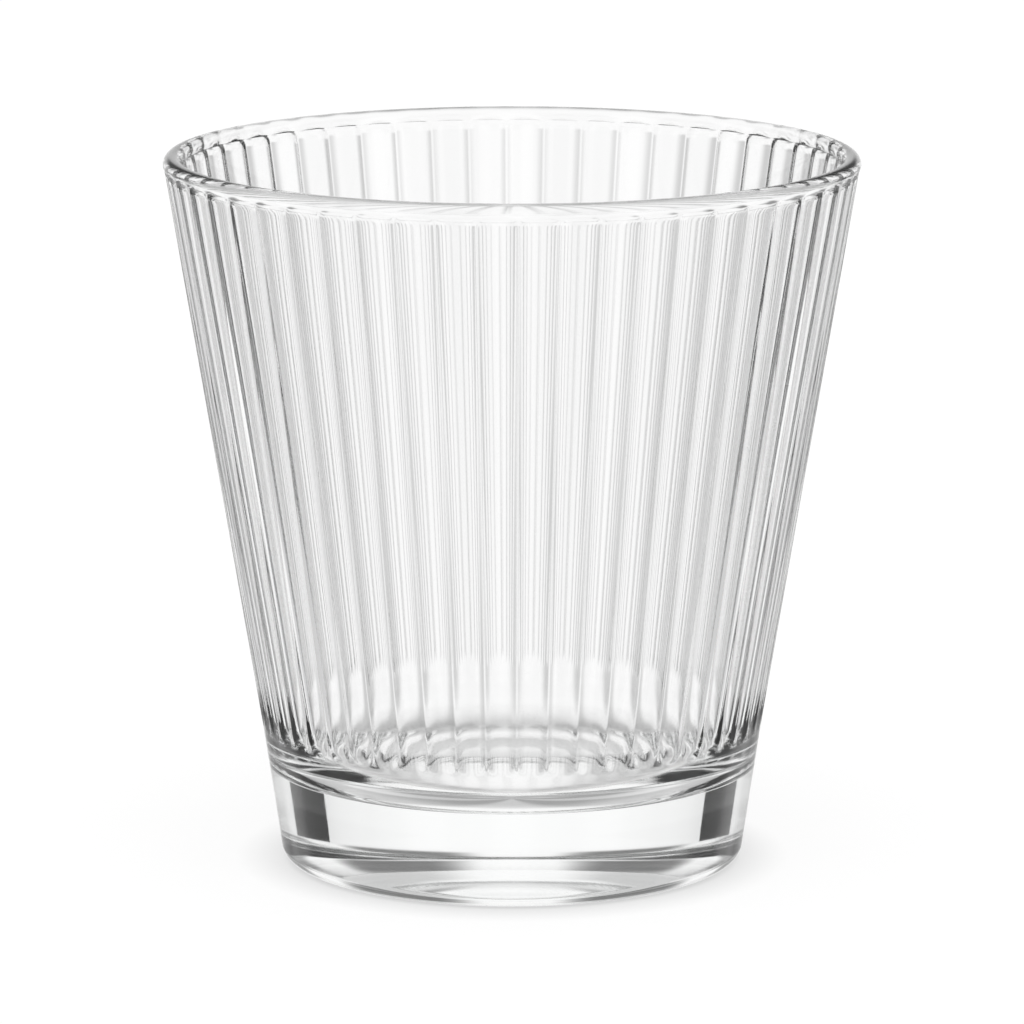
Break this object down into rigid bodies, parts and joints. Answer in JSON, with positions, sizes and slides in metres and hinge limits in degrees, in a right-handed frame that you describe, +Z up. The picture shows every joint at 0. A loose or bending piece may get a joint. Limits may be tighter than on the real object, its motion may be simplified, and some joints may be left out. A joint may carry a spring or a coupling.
{
  "type": "tumbler glass",
  "caption": "Clear pressed-glass tumbler with a tapered wall of upright flutes, a plain round lip and a thick plain base, for cold drinks.",
  "frame": {"origin": "middle of the plane that the foot stands on", "axes": "+Z up along the glass's own axis, from the foot to the lip; +X and +Y across it"},
  "size_m": [0.0872, 0.0872, 0.09],
  "materials": {
    "clear_glass": "pressed and fire-polished, clear"
  },
  "bodies": {
    "root": {"tumbler": "clear_glass"}
  },
  "joints": []
}
